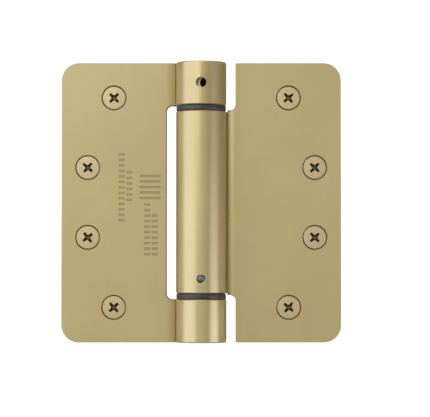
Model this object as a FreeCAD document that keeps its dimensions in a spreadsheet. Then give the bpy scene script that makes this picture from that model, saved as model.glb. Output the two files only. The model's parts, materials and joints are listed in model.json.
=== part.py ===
import FreeCAD, Part
import math
import os
import Sketcher
from FreeCAD import Placement, Rotation, Vector

# Single-acting spring hinge, laid open flat.
#
# Frame: millimetres. The origin is on the pivot axis at mid height. +Z runs up the pivot,
# +X runs from the frame leaf to the door leaf, and +Y points into the door and its frame,
# so the countersunk faces look along -Y.
#
# The frame leaf is rolled into two end knuckles. The door leaf is rolled into one long
# barrel that sits between them and holds the torsion spring. Both leaves are one sheet
# with a swage bend, which runs from the flat into the back of the roll.

# ---------------------------------------------------------------- driving sizes

SIZES = {
    # leaves
    "leaf_height": 101.6,
    "leaf_reach": 50.8,  # pivot axis to the free edge of a leaf
    "sheet_thickness": 2.5,
    "corner_radius": 6.35,
    "closed_gap": 1.6,  # between the two leaves when shut
    "swage_angle": 45.0,
    "swage_radius": 7.9,  # of the sheet's middle, in the bend beside the roll
    "outline_break": 0.25,  # rounding of a leaf's front outline
    # roll
    "barrel_radius": 9.15,
    "seam_angle": 5.6,  # how far the roll's edge stops past the leaf's own plane
    "barrel_half": 33.0,  # mid height to the barrel's faced end
    "ring_space": 2.1,  # between barrel end and knuckle end
    "tab_overhang": 0.65,  # the notch beside the barrel starts past the barrel's faced end
    "notch_reach": 12.5,  # pivot axis to the edge of the cut-out and the notches
    "notch_radius": 2.0,
    "facing_clearance": 0.45,  # facing cutter beyond the barrel's surface
    "end_chamfer": 0.35,
    # screws, four to a leaf
    "screw_outer_x": 31.75,
    "screw_outer_z": 38.1,
    "screw_inner_x": 41.275,
    "screw_inner_z": 12.7,
    "screw_hole": 4.9,
    "countersink_angle": 82.0,
    "screw_head": 8.4,
    "screw_sink": 0.35,  # head below the leaf's face
    "screw_edge": 0.1,  # straight edge of the head
    "sink_gap": 0.03,  # radial room round the cone under the head
    "screw_shank": 4.4,
    "screw_length": 25.1,
    "screw_point": 5.0,
    "point_flat": 0.3,
    "recess_span": 4.3,
    "recess_arm": 0.95,
    "recess_depth": 1.9,
    # bearings
    "bearing_radius": 9.0,
    "bearing_round": 0.3,
    "end_play": 0.05,
    "press_gap": 0.05,  # nominal room round a pressed piece
    "running_gap": 0.05,  # radial room round a turning piece
    "upper_sleeve": 5.5,
    "lower_sleeve_room": 3.8,  # lower sleeve's end to the knuckle's end
    # tension hub
    "hub_gap": 0.25,  # hub head and washer to knuckle bore
    "hub_end_play": 0.1,  # hub head to retaining ring
    "hub_journal": 5.0,
    "hub_journal_reach": 6.0,  # journal's end inside the barrel's end
    "spigot_radius": 3.6,
    "hub_spigot": 8.0,  # length of the spigot below the journal
    "slot_room": 1.6,  # from a tang's middle to the blind end of its slot
    "hex_across": 4.0,
    "hex_depth": 4.0,
    "pin_hole_rise": 7.85,  # pin hole above the knuckle's lower end
    "pin_hole": 3.8,
    "hub_hole": 3.6,
    "hub_hole_depth": 3.0,
    "hub_holes": 6,
    "hub_rest_turn": 12.0,  # hub hole past the knuckle's hole, with no tension on
    "washer_thickness": 0.5,
    "ring_inset": 0.5,  # retaining ring below the knuckle's end
    "ring_thickness": 1.2,
    "ring_hole": 4.4,
    # spring
    "spring_radius": 5.2,  # of the wire's middle
    "spring_wire": 1.1,  # wire radius
    "spring_pitch": 2.35,
    "spring_foot": 16.0,  # lower tang inside the barrel's end
    "spring_head": 11.0,  # upper tang inside the barrel's end
    "tang_reach": 3.4,  # tang past the axis
    "slot_gap": 0.1,  # each side of a tang
    # barrel foot
    "plug_length": 11.0,
    "plug_spigot": 8.0,
    "pivot_radius": 4.0,
    "pivot_hold": 10.0,  # pivot pin's length inside the plug
    "pivot_chamfer": 0.6,
    "anchor_rise": 5.3,  # anchor pin inside the barrel's end
    "anchor_pin": 3.0,
    "anchor_hole": 3.2,
    "anchor_sink": 0.25,
    "pivot_end_play": 0.5,  # pivot pin to bottom cap
    "cap_inset": 0.4,  # cap above the knuckle's end
    "cap_thickness": 1.9,
    "cap_chamfer": 0.4,
    # plain stamped bars on the frame leaf
    "stamp_depth": 0.25,
    "stamp_bar": 0.9,  # a bar's height
    "stamp_pitch": 2.0,  # from bar to bar, down a row
    "stamp_row": 2.2,  # a row's width
    "stamp_block": 7.5,  # the wide block's width
}

doc = FreeCAD.newDocument("spring_hinge")
sheet = doc.addObject("Spreadsheet::Sheet", "Sizes")
for row, (name, number) in enumerate(SIZES.items(), start=1):
    sheet.set(f"A{row}", name)
    sheet.set(f"B{row}", str(number))
    sheet.setAlias(f"B{row}", name)
doc.recompute()


def size(expression):
    """The number that an expression on the sheet's aliases stands for."""
    return float(sheet.evalExpression(expression))


# heights and fits that follow from the driving sizes
FRONT = "closed_gap / 2"
BORE = "(barrel_radius - sheet_thickness)"
PRESSED = f"({BORE} - press_gap)"
KNUCKLE_START = "(barrel_half + ring_space)"
TAB_HALF = "(barrel_half + tab_overhang)"
PIN_HOLE_HEIGHT = f"({KNUCKLE_START} + pin_hole_rise)"
RING_TOP = "(leaf_height / 2 - ring_inset)"
RING_BOTTOM = f"({RING_TOP} - ring_thickness)"
HUB_TOP = f"({RING_BOTTOM} - hub_end_play)"
HUB_HEAD = f"({BORE} - hub_gap)"
HEAD_BOTTOM = f"({KNUCKLE_START} + washer_thickness)"
HUB_SHOULDER = "(barrel_half - hub_journal_reach)"
HUB_SPIGOT_END = f"({HUB_SHOULDER} - hub_spigot)"
SPRING_TOP = "(barrel_half - spring_head)"
SPRING_BOTTOM = "(spring_foot - barrel_half)"
PLUG_TOP = "(plug_length - barrel_half)"
PLUG_SPIGOT_TOP = f"({PLUG_TOP} + plug_spigot)"
PIVOT_TOP = "(pivot_hold - barrel_half)"
ANCHOR_HEIGHT = "(anchor_rise - barrel_half)"
CAP_BOTTOM = "(cap_inset - leaf_height / 2)"
CAP_TOP = f"({CAP_BOTTOM} + cap_thickness)"
PIVOT_BOTTOM = f"({CAP_TOP} + pivot_end_play)"
LOWER_SLEEVE = f"(leaf_height / 2 - lower_sleeve_room - {KNUCKLE_START})"
CONE_SLOPE = math.tan(math.radians(size("countersink_angle / 2")))
COUNTERSINK = f"(screw_head + 2 * sink_gap + 2 * (screw_sink + screw_edge) * {CONE_SLOPE})"


def on_sheet(expression):
    """The same expression with each alias written as the sheet's own property."""
    words = sorted(SIZES, key=len, reverse=True)
    for index, word in enumerate(words):
        expression = expression.replace(word, f"@{index}@")
    for index, word in enumerate(words):
        expression = expression.replace(f"@{index}@", f"Sizes.{word}")
    return expression


# ---------------------------------------------------------------- sketch helpers


def new_body(label):
    """An empty body whose label is the node's name."""
    body = doc.addObject("PartDesign::Body", label)
    body.Label = label
    return body


def new_sketch(body, name, role, lift="0"):
    """A sketch on one of the body's own origin planes, lifted along the plane's normal."""
    sketch = body.newObject("Sketcher::SketchObject", name)
    plane = next(item for item in body.Origin.OriginFeatures if item.Role == role)
    sketch.AttachmentSupport = [(plane, "")]
    sketch.MapMode = "FlatFace"
    sketch.AttachmentOffset = Placement(Vector(0, 0, size(lift)), Rotation())
    doc.recompute()
    return sketch


def dimension(sketch, kind, references, expression):
    """A driving dimension bound to the sheet. A distance is stated in its positive sense."""
    if kind.startswith("Distance") and size(expression) < 0:
        first, second = references[:2], references[2:]
        references, expression = (*second, *first), f"-({expression})"
    index = sketch.addConstraint(Sketcher.Constraint(kind, *references, size(expression)))
    sketch.setExpression(f"Constraints[{index}]", on_sheet(expression))


def circle(sketch, x, y, diameter):
    """A circle whose centre and diameter follow three expressions."""
    centre = Vector(size(x), size(y), 0)
    edge = sketch.addGeometry(Part.Circle(centre, Vector(0, 0, 1), size(diameter) / 2), False)
    dimension(sketch, "Diameter", (edge,), diameter)
    for kind, place in (("DistanceX", x), ("DistanceY", y)):
        if size(place) != 0:
            dimension(sketch, kind, (-1, 1, edge, 3), place)
    return edge


def polygon(sketch, corners):
    """A closed outline of straight lines whose corners each follow two expressions."""
    points = [Vector(size(x), size(y), 0) for x, y in corners]
    first = sketch.GeometryCount
    for start, end in zip(points, points[1:] + points[:1]):
        sketch.addGeometry(Part.LineSegment(start, end), False)
    for index in range(len(points)):
        following = first + (index + 1) % len(points)
        sketch.addConstraint(Sketcher.Constraint("Coincident", first + index, 2, following, 1))
    for index, (x, y) in enumerate(corners):
        for kind, place in (("DistanceX", x), ("DistanceY", y)):
            if size(place) != 0:
                dimension(sketch, kind, (-1, 1, first + index, 1), place)
    return first


def rectangle(sketch, left, right, bottom, top):
    """An upright rectangle between four expressions."""
    return polygon(sketch, [(left, bottom), (right, bottom), (right, top), (left, top)])


def pad(body, sketch, length):
    """The sketch padded to both sides of its plane."""
    feature = body.newObject("PartDesign::Pad", "Pad")
    feature.Profile = sketch
    feature.Midplane = True
    feature.setExpression("Length", on_sheet(length))
    return feature


def cut(body, sketch, length=None, backwards=False):
    """A pocket: through all to both sides, or of one length on one side. It must cut."""
    before = body.Shape.Volume
    feature = body.newObject("PartDesign::Pocket", "Pocket")
    feature.Profile = sketch
    if length is None:
        feature.Type = "ThroughAll"
        feature.Midplane = True
    else:
        feature.Reversed = backwards
        feature.setExpression("Length", on_sheet(length))
    doc.recompute()
    if not body.Shape.Volume < before:
        raise RuntimeError(f"{sketch.Label} cuts nothing")
    return feature


def revolve(body, sketch, axis="V_Axis"):
    """The sketch turned a full circle about its own upright or level axis."""
    feature = body.newObject("PartDesign::Revolution", "Revolution")
    feature.Profile = sketch
    feature.ReferenceAxis = (sketch, [axis])
    feature.Angle = 360
    doc.recompute()
    return feature


def turned(label, outline):
    """A piece turned about the pivot axis from an outline of (radius, height) expressions."""
    body = new_body(label)
    sketch = new_sketch(body, f"{label}_outline", "XZ_Plane")
    polygon(sketch, outline)
    revolve(body, sketch)
    return body


def dress(body, kind, amount, chosen):
    """A Fillet or Chamfer on every edge of the body that the test picks."""
    names = [f"Edge{n}" for n, edge in enumerate(body.Tip.Shape.Edges, start=1) if chosen(edge)]
    base = body.Tip
    feature = body.newObject(f"PartDesign::{kind}", kind)
    feature.Base = (base, names)
    feature.setExpression("Radius" if kind == "Fillet" else "Size", on_sheet(amount))
    doc.recompute()
    return feature


def near(a, b):
    return abs(a - b) < 1e-4


def lies_at_height(edge, heights):
    """Whether a whole edge lies level at one of these heights."""
    box = edge.BoundBox
    return near(box.ZMin, box.ZMax) and any(near(box.ZMin, height) for height in heights)


def is_arc(edge, radius):
    curve = edge.Curve
    return isinstance(curve, Part.Circle) and near(curve.Radius, radius)


# ---------------------------------------------------------------- leaves


def leaf_section(sketch, side):
    """The sheet's section: flat, swage bend, and a roll round the pivot.

    side is -1 for the frame leaf and +1 for the door leaf. The middle of the sheet leaves
    the flat on an arc through the swage angle, runs straight at that angle to touch the
    roll's circle, follows the circle over the back, round the front, and stops beside the
    leaf's face. The two faces of the sheet lie half a thickness each side of it.
    """
    swage = math.radians(size("swage_angle"))
    half = size("sheet_thickness / 2")
    roll = size("barrel_radius") - half
    middle = size(FRONT) + half
    bend = size("swage_radius")
    # the straight touches the roll here, and meets the flat's own line at the corner
    touch = Vector(-roll * math.sin(swage), roll * math.cos(swage), 0)
    corner_x = touch.x - (touch.y - middle) / math.tan(swage)
    flat_end = corner_x - bend * math.tan(swage / 2)
    bend_centre = Vector(flat_end, middle + bend, 0)
    stop = math.pi - math.radians(size("seam_angle"))

    def place(x, y):
        return Vector(x if side < 0 else -x, y, 0)

    def around(centre, radius, angle):
        return (centre.x + radius * math.cos(angle), centre.y + radius * math.sin(angle))

    def arc(centre, radius, start, finish):
        """The arc from start to finish, drawn through its middle point."""
        angles = (start, (start + finish) / 2, finish)
        points = [place(*around(centre, radius, angle)) for angle in angles]
        return sketch.addGeometry(Part.Arc(*points), False)

    def line(start, finish):
        return sketch.addGeometry(Part.LineSegment(place(*start), place(*finish)), False)

    edge_x = -size("leaf_reach")
    pivot = Vector(0, 0, 0)
    low, high = -math.pi / 2, -math.pi / 2 + swage
    roll_start, roll_end = math.pi / 2 + swage, stop - 2 * math.pi
    faces = {}
    for name, bend_radius, roll_radius, level in (
        ("front", bend + half, roll - half, middle - half),
        ("back", bend - half, roll + half, middle + half),
    ):
        line((edge_x, level), (flat_end, level))
        faces[name, "bend"] = arc(bend_centre, bend_radius, low, high)
        line(around(bend_centre, bend_radius, high), around(pivot, roll_radius, roll_start))
        faces[name, "roll"] = arc(pivot, roll_radius, roll_start, roll_end)
    line(around(pivot, roll - half, stop), around(pivot, roll + half, stop))
    line((edge_x, middle - half), (edge_x, middle + half))
    dimension(sketch, "Radius", (faces["front", "roll"],), BORE)
    dimension(sketch, "Radius", (faces["back", "roll"],), "barrel_radius")
    dimension(sketch, "Radius", (faces["front", "bend"],), "swage_radius + sheet_thickness / 2")
    dimension(sketch, "Radius", (faces["back", "bend"],), "swage_radius - sheet_thickness / 2")


def notch(sketch, side, far, bottom, top, open_end):
    """A window from past the roll to the notch's edge, with round corners at that edge.

    open_end is -1 or +1 where the window runs out of the leaf's own end, and 0 where both
    corners at its edge are round.
    """
    inner = side * size("notch_reach")
    radius = size("notch_radius")
    outer, low, high = -side * size(far), size(bottom), size(top)
    path = [Vector(outer, low, 0)]
    for level, inward, end in ((low, 1, -1), (high, -1, 1)):
        corner = Vector(inner, level, 0)
        if open_end == end:
            path.append(corner)
            continue
        along = Vector(inner - side * radius, level, 0)
        upward = Vector(inner, level + inward * radius, 0)
        shrink = radius * (1 - math.sqrt(0.5))
        middle = Vector(inner - side * shrink, level + inward * shrink, 0)
        arc = (along, middle, upward) if end < 0 else (upward, middle, along)
        path.append(arc)
    path.append(Vector(outer, high, 0))
    last = path[-1]
    for piece in path:
        if isinstance(piece, tuple):
            sketch.addGeometry(Part.LineSegment(last, piece[0]), False)
            sketch.addGeometry(Part.Arc(*piece), False)
            last = piece[2]
        else:
            sketch.addGeometry(Part.LineSegment(last, piece), False)
            last = piece


def countersunk_holes(body, side):
    """Four countersunk through holes, entered from the leaf's front face."""
    sketch = new_sketch(body, "screw_holes", "XZ_Plane", f"-{FRONT}")
    for x, z in SCREW_PLACES:
        circle(sketch, f"{side} * {x}", z, "screw_hole")
    doc.recompute()
    before = body.Shape.Volume
    hole = body.newObject("PartDesign::Hole", "Hole")
    hole.Profile = sketch
    doc.recompute()
    hole.DepthType = "ThroughAll"
    hole.Threaded = False
    hole.setExpression("Diameter", on_sheet("screw_hole"))
    hole.HoleCutType = "Countersink"
    hole.HoleCutCustomValues = True
    hole.setExpression("HoleCutDiameter", on_sheet(COUNTERSINK))
    hole.setExpression("HoleCutCountersinkAngle", on_sheet("countersink_angle"))
    doc.recompute()
    if not body.Shape.Volume < before:
        raise RuntimeError("the screw holes cut nothing")


# rows of plain bars: middle x, first bar's height, number of bars, width
STAMP_ROWS = (
    (-28.9, 17.5, 13, "stamp_row"),
    (-26.1, 10.9, 6, "stamp_row"),
    (-18.6, 9.6, 5, "stamp_block"),
    (-19.6, -0.8, 10, "stamp_row"),
    (-16.9, -4.8, 8, "stamp_row"),
)
SCREW_PLACES = (
    ("screw_outer_x", "screw_outer_z"),
    ("screw_inner_x", "screw_inner_z"),
    ("screw_inner_x", "-screw_inner_z"),
    ("screw_outer_x", "-screw_outer_z"),
)


def leaf_blank(label, side):
    """The rolled sheet over its full height, with its two free corners rounded."""
    body = new_body(label)
    section = new_sketch(body, f"{label}_section", "XY_Plane")
    leaf_section(section, side)
    pad(body, section, "leaf_height")
    doc.recompute()
    edge_x, edge_z = side * size("leaf_reach"), size("leaf_height / 2")

    def at_free_corner(edge):
        box = edge.BoundBox
        upright = near(box.XMin, edge_x) and near(box.XMax, edge_x)
        return upright and near(box.ZMin, box.ZMax) and near(abs(box.ZMin), edge_z)

    dress(body, "Fillet", "corner_radius", at_free_corner)
    return body


def break_outline(body, side, notched):
    """A small round along the front outline: the free edge, its corners, the ends, and notches."""
    front = size(FRONT)
    beyond = size("leaf_reach") - size("corner_radius") - 1

    def on_front_outline(edge):
        box = edge.BoundBox
        level = near(box.YMin, front) and near(box.YMax, front)
        reach = max(abs(box.XMin), abs(box.XMax))
        beside = notched and near(box.XMin, box.XMax) and near(abs(box.XMin), size("notch_reach"))
        hole = is_arc(edge, size(f"{COUNTERSINK} / 2"))
        return level and (reach > beyond or beside) and not hole and box.Center.x * side > 0

    dress(body, "Fillet", "outline_break", on_front_outline)


def stamp_bars(body, x, first_z, count, width):
    """One shallow bar in the front face, repeated down a row at the stamp's pitch."""
    sketch = new_sketch(body, "stamped_bar", "XZ_Plane", f"-{FRONT}")
    low, high = f"{first_z} - stamp_bar / 2", f"{first_z} + stamp_bar / 2"
    rectangle(sketch, f"{x} - {width} / 2", f"{x} + {width} / 2", low, high)
    first = cut(body, sketch, "stamp_depth")
    row = body.newObject("PartDesign::LinearPattern", "stamped_row")
    row.Originals = [first]
    row.Direction = (sketch, ["V_Axis"])
    row.Reversed = True
    row.setExpression("Length", on_sheet(f"{count - 1} * stamp_pitch"))
    row.Occurrences = count
    body.Tip = row
    doc.recompute()


def make_frame_leaf():
    """Left leaf: two end knuckles, a tall cut-out between them, and the pin hole above."""
    body = leaf_blank("frame_leaf", -1)
    window = new_sketch(body, "cut_out", "XZ_Plane")
    notch(window, -1, "2 * barrel_radius", f"-{KNUCKLE_START}", KNUCKLE_START, 0)
    cut(body, window)
    countersunk_holes(body, -1)
    pin_hole = new_sketch(body, "tension_pin_hole", "XZ_Plane")
    circle(pin_hole, "0", PIN_HOLE_HEIGHT, "pin_hole")
    cut(body, pin_hole, "2 * barrel_radius", backwards=True)
    break_outline(body, -1, notched=False)
    ends = (size("leaf_height / 2"), size(KNUCKLE_START))
    heights = [sign * height for sign in (-1, 1) for height in ends]
    radius = size("barrel_radius")
    dress(body, "Chamfer", "end_chamfer", lambda e: lies_at_height(e, heights) and is_arc(e, radius))
    for x, first_z, count, width in STAMP_ROWS:
        stamp_bars(body, x, first_z, count, width)
    return body


def make_door_leaf():
    """Right leaf: one long barrel, with a notch above and below it."""
    body = leaf_blank("door_leaf", 1)
    outer = "leaf_height / 2 + 1"
    notches = new_sketch(body, "notches", "XZ_Plane")
    notch(notches, 1, "2 * barrel_radius", TAB_HALF, outer, 1)
    notch(notches, 1, "2 * barrel_radius", f"-({outer})", f"-{TAB_HALF}", -1)
    cut(body, notches)
    facing = new_sketch(body, "faced_ends", "XZ_Plane")
    wide = "(barrel_radius + facing_clearance)"
    rectangle(facing, f"-{wide}", wide, "barrel_half", outer)
    rectangle(facing, f"-{wide}", wide, f"-({outer})", "-barrel_half")
    cut(body, facing)
    countersunk_holes(body, 1)
    pin_hole = new_sketch(body, "anchor_pin_hole", "XZ_Plane")
    circle(pin_hole, "0", ANCHOR_HEIGHT, "anchor_hole")
    cut(body, pin_hole)
    break_outline(body, 1, notched=True)
    heights = [size("barrel_half"), -size("barrel_half")]
    radius = size("barrel_radius")
    dress(body, "Chamfer", "end_chamfer", lambda e: lies_at_height(e, heights) and is_arc(e, radius))
    return body


# ---------------------------------------------------------------- screws


def make_screw(label, x, z, turn):
    """A flat-head wood screw with a cross recess, along +Y, its head just below the face.

    The cone under the head has the countersink's angle. The recess is turned by its own
    angle about the screw, as each screw stopped where it was driven home.
    """
    body = new_body(label)
    outline = new_sketch(body, f"{label}_outline", "XY_Plane")
    top = f"({FRONT} + screw_sink)"
    cone_start = f"({top} + screw_edge)"
    cone_end = f"({cone_start} + (screw_head / 2 - screw_shank / 2) / {CONE_SLOPE})"
    tip = f"({top} + screw_length)"
    polygon(
        outline,
        [
            ("0", top),
            ("screw_head / 2", top),
            ("screw_head / 2", cone_start),
            ("screw_shank / 2", cone_end),
            ("screw_shank / 2", f"{tip} - screw_point"),
            ("point_flat / 2", tip),
            ("0", tip),
        ],
    )
    revolve(body, outline)
    recess = new_sketch(body, f"{label}_recess", "XZ_Plane", f"-{top}")
    arm, span = "recess_arm / 2", "recess_span / 2"
    polygon(
        recess,
        [
            (f"-{arm}", f"-{span}"),
            (arm, f"-{span}"),
            (arm, f"-{arm}"),
            (span, f"-{arm}"),
            (span, arm),
            (arm, arm),
            (arm, span),
            (f"-{arm}", span),
            (f"-{arm}", arm),
            (f"-{span}", arm),
            (f"-{span}", f"-{arm}"),
            (f"-{arm}", f"-{arm}"),
        ],
    )
    cut(body, recess, "recess_depth")
    place = Vector(size(x), 0, size(z))
    body.Placement = Placement(place, Rotation(Vector(0, 1, 0), turn))
    return body


# ---------------------------------------------------------------- bearings and pivot


def make_bearing(label, shoulder, sleeve, bore):
    """A black flanged bush: the flange parts two knuckles, the sleeve lines the lower one.

    shoulder is the height where the flange rests on the knuckle that holds the sleeve.
    """
    free = f"({shoulder} + ring_space - end_play)"
    sleeve_end = f"({shoulder} - {sleeve})"
    body = turned(
        label,
        [
            (bore, free),
            ("bearing_radius", free),
            ("bearing_radius", shoulder),
            (PRESSED, shoulder),
            (PRESSED, sleeve_end),
            (bore, sleeve_end),
        ],
    )
    rim = size("bearing_radius")
    dress(body, "Fillet", "bearing_round", lambda edge: is_arc(edge, rim))
    return body


def make_hub():
    """The tension hub: head with a ring of pin holes, journal, and a slotted spigot."""
    body = turned(
        "tension_hub",
        [
            ("0", HUB_SPIGOT_END),
            ("spigot_radius", HUB_SPIGOT_END),
            ("spigot_radius", HUB_SHOULDER),
            ("hub_journal", HUB_SHOULDER),
            ("hub_journal", HEAD_BOTTOM),
            (HUB_HEAD, HEAD_BOTTOM),
            (HUB_HEAD, HUB_TOP),
            ("0", HUB_TOP),
        ],
    )
    slot = new_sketch(body, "tang_slot", "YZ_Plane")
    half = "(spring_wire + slot_gap)"
    rectangle(slot, f"-{half}", half, f"{HUB_SPIGOT_END} - 1", f"{SPRING_TOP} + slot_room")
    cut(body, slot)
    socket = new_sketch(body, "hex_socket", "XY_Plane", HUB_TOP)
    across = "hex_across / 2"
    corner = f"({across} / {math.cos(math.radians(30))})"
    half_side = f"({corner} / 2)"
    polygon(
        socket,
        [
            (corner, "0"),
            (half_side, across),
            (f"-{half_side}", across),
            (f"-{corner}", "0"),
            (f"-{half_side}", f"-{across}"),
            (half_side, f"-{across}"),
        ],
    )
    cut(body, socket, "hex_depth")
    dimple = new_sketch(body, "pin_hole", "XZ_Plane", HUB_HEAD)
    circle(dimple, "0", PIN_HOLE_HEIGHT, "hub_hole")
    first = cut(body, dimple, "hub_hole_depth")
    ring = body.newObject("PartDesign::PolarPattern", "pin_holes")
    ring.Originals = [first]
    ring.Axis = (next(i for i in body.Origin.OriginFeatures if i.Role == "Z_Axis"), [""])
    ring.Angle = 360
    ring.Occurrences = SIZES["hub_holes"]
    body.Tip = ring
    doc.recompute()
    body.Placement = Placement(Vector(), Rotation(Vector(0, 0, 1), size("hub_rest_turn")))
    return body


def make_thrust_washer():
    """A thin washer that carries the hub's head clear of the bearing's flange."""
    hole = "(hub_journal + running_gap)"
    return turned(
        "thrust_washer",
        [
            (hole, KNUCKLE_START),
            (HUB_HEAD, KNUCKLE_START),
            (HUB_HEAD, HEAD_BOTTOM),
            (hole, HEAD_BOTTOM),
        ],
    )


def make_retaining_ring():
    """A flat ring pressed into the top knuckle, which keeps the hub in."""
    return turned(
        "hub_retaining_ring",
        [
            ("ring_hole", RING_BOTTOM),
            (PRESSED, RING_BOTTOM),
            (PRESSED, RING_TOP),
            ("ring_hole", RING_TOP),
        ],
    )


def make_plug():
    """The plug in the barrel's foot, with a slotted spigot for the spring's lower tang."""
    bore = "(pivot_radius + press_gap)"
    body = turned(
        "spring_plug",
        [
            (bore, "-barrel_half"),
            (PRESSED, "-barrel_half"),
            (PRESSED, PLUG_TOP),
            ("spigot_radius", PLUG_TOP),
            ("spigot_radius", PLUG_SPIGOT_TOP),
            ("0", PLUG_SPIGOT_TOP),
            ("0", f"{PIVOT_TOP} + press_gap"),
            (bore, f"{PIVOT_TOP} + press_gap"),
        ],
    )
    slot = new_sketch(body, "tang_slot", "YZ_Plane")
    half = "(spring_wire + slot_gap)"
    rectangle(slot, f"-{half}", half, f"{SPRING_BOTTOM} - slot_room", f"{PLUG_SPIGOT_TOP} + 1")
    cut(body, slot)
    cross = new_sketch(body, "anchor_hole", "XZ_Plane")
    circle(cross, "0", ANCHOR_HEIGHT, "anchor_hole")
    cut(body, cross)
    return body


def make_pivot_pin():
    """The pivot pin: held in the plug by the anchor pin, it turns in the lower bearing."""
    body = turned(
        "pivot_pin",
        [
            ("0", PIVOT_BOTTOM),
            ("pivot_radius - pivot_chamfer", PIVOT_BOTTOM),
            ("pivot_radius", f"{PIVOT_BOTTOM} + pivot_chamfer"),
            ("pivot_radius", PIVOT_TOP),
            ("0", PIVOT_TOP),
        ],
    )
    cross = new_sketch(body, "anchor_hole", "XZ_Plane")
    circle(cross, "0", ANCHOR_HEIGHT, "anchor_hole")
    cut(body, cross)
    return body


def make_anchor_pin():
    """The cross pin through the barrel, the plug and the pivot pin."""
    body = new_body("anchor_pin")
    sketch = new_sketch(body, "anchor_section", "XZ_Plane")
    circle(sketch, "0", ANCHOR_HEIGHT, "anchor_pin")
    pad(body, sketch, "2 * (barrel_radius - anchor_sink)")
    doc.recompute()
    return body


def make_bottom_cap():
    """A turned cap pressed into the bottom knuckle, under the pivot pin."""
    return turned(
        "bottom_cap",
        [
            ("0", CAP_BOTTOM),
            (f"{PRESSED} - cap_chamfer", CAP_BOTTOM),
            (PRESSED, f"{CAP_BOTTOM} + cap_chamfer"),
            (PRESSED, CAP_TOP),
            ("0", CAP_TOP),
        ],
    )


# ---------------------------------------------------------------- spring


def make_spring():
    """A close left-hand coil with a tang across the axis at each end.

    The coil falls into place so that its upper tang lies along the hub's slot. The lower
    tang lies along X, in the plug's slot: the coil has a whole number of turns less the
    angle between the two slots.
    """
    bottom, top = size(SPRING_BOTTOM), size(SPRING_TOP)
    radius, wire, pitch = size("spring_radius"), size("spring_wire"), size("spring_pitch")
    height = top - bottom
    # a left-hand coil that starts at angle 0 ends at minus its turns, which has to be the
    # hub's rest turn, so the pitch is eased to the nearest coil that does
    slot_turn = size("hub_rest_turn") / 360
    turns = round(height / pitch + slot_turn) - slot_turn
    coil = Part.makeLongHelix(height / turns, height, radius, 0, True)
    section = Part.Wire(Part.makeCircle(wire, Vector(radius, 0, 0), Vector(0, 1, 0)))
    shell = Part.BRepOffsetAPI.MakePipeShell(coil)
    shell.setFrenetMode(True)
    shell.add(section)
    shell.build()
    shell.makeSolid()
    spring = shell.shape()
    spring.translate(Vector(0, 0, bottom))
    for level, angle in ((bottom, 0), (top, size("hub_rest_turn"))):
        outward = Rotation(Vector(0, 0, 1), angle).multVec(Vector(1, 0, 0))
        start = outward * radius + Vector(0, 0, level)
        tang = Part.makeCylinder(wire, radius + size("tang_reach"), start, outward * -1)
        spring = spring.fuse(tang).fuse(Part.makeSphere(wire, start))
    feature = doc.addObject("Part::Feature", "torsion_spring")
    feature.Label = "torsion_spring"
    feature.Shape = spring.removeSplitter()
    feature.Placement = Placement()
    return feature


# ---------------------------------------------------------------- the hinge

nodes = [
    make_frame_leaf(),
    make_door_leaf(),
    make_bearing("upper_bearing", "barrel_half", "upper_sleeve", "(hub_journal + running_gap)"),
    make_bearing("lower_bearing", f"-{KNUCKLE_START}", LOWER_SLEEVE, "(pivot_radius + running_gap)"),
    make_hub(),
    make_thrust_washer(),
    make_retaining_ring(),
    make_spring(),
    make_plug(),
    make_pivot_pin(),
    make_anchor_pin(),
    make_bottom_cap(),
]

# where each screw's recess stopped, in degrees about the screw, from the top down
SCREW_TURNS = {"frame": (44, 41, 52, 47), "door": (49, 43, 46, 40)}
for owner, side in (("frame", -1), ("door", 1)):
    for number, ((x, z), turn) in enumerate(zip(SCREW_PLACES, SCREW_TURNS[owner]), start=1):
        nodes.append(make_screw(f"{owner}_screw_{number}", f"{side} * {x}", z, turn))

doc.recompute()

for item in doc.Objects:
    if {"Invalid", "Error"} & set(item.State):
        raise RuntimeError(f"{item.Label} failed: {item.State}")
for node in nodes:
    if node.Shape.isNull() or not node.Shape.isValid() or len(node.Shape.Solids) != 1:
        raise RuntimeError(f"{node.Label} is not one valid solid")

os.makedirs("parts", exist_ok=True)
for node in nodes:
    node.Shape.exportStep(f"parts/{node.Label}.step")
    print(f"{node.Label}: {node.Shape.Volume:.1f} mm3")
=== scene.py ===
# %% [markdown]
# # A satin brass spring hinge
# This hinge closes a door by itself. It has two rolled steel leaves, a barrel with a torsion
# spring in it, two black bearings and eight countersunk screws. The leaves could be modelled
# again here, but the CAD model already holds their exact shape, so this lesson keeps them and
# gives them a finish. It rebuilds what the eye lingers on: screws with real threads and cross
# recesses, moulded bearings, turned caps and a wound spring.

import json

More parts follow.
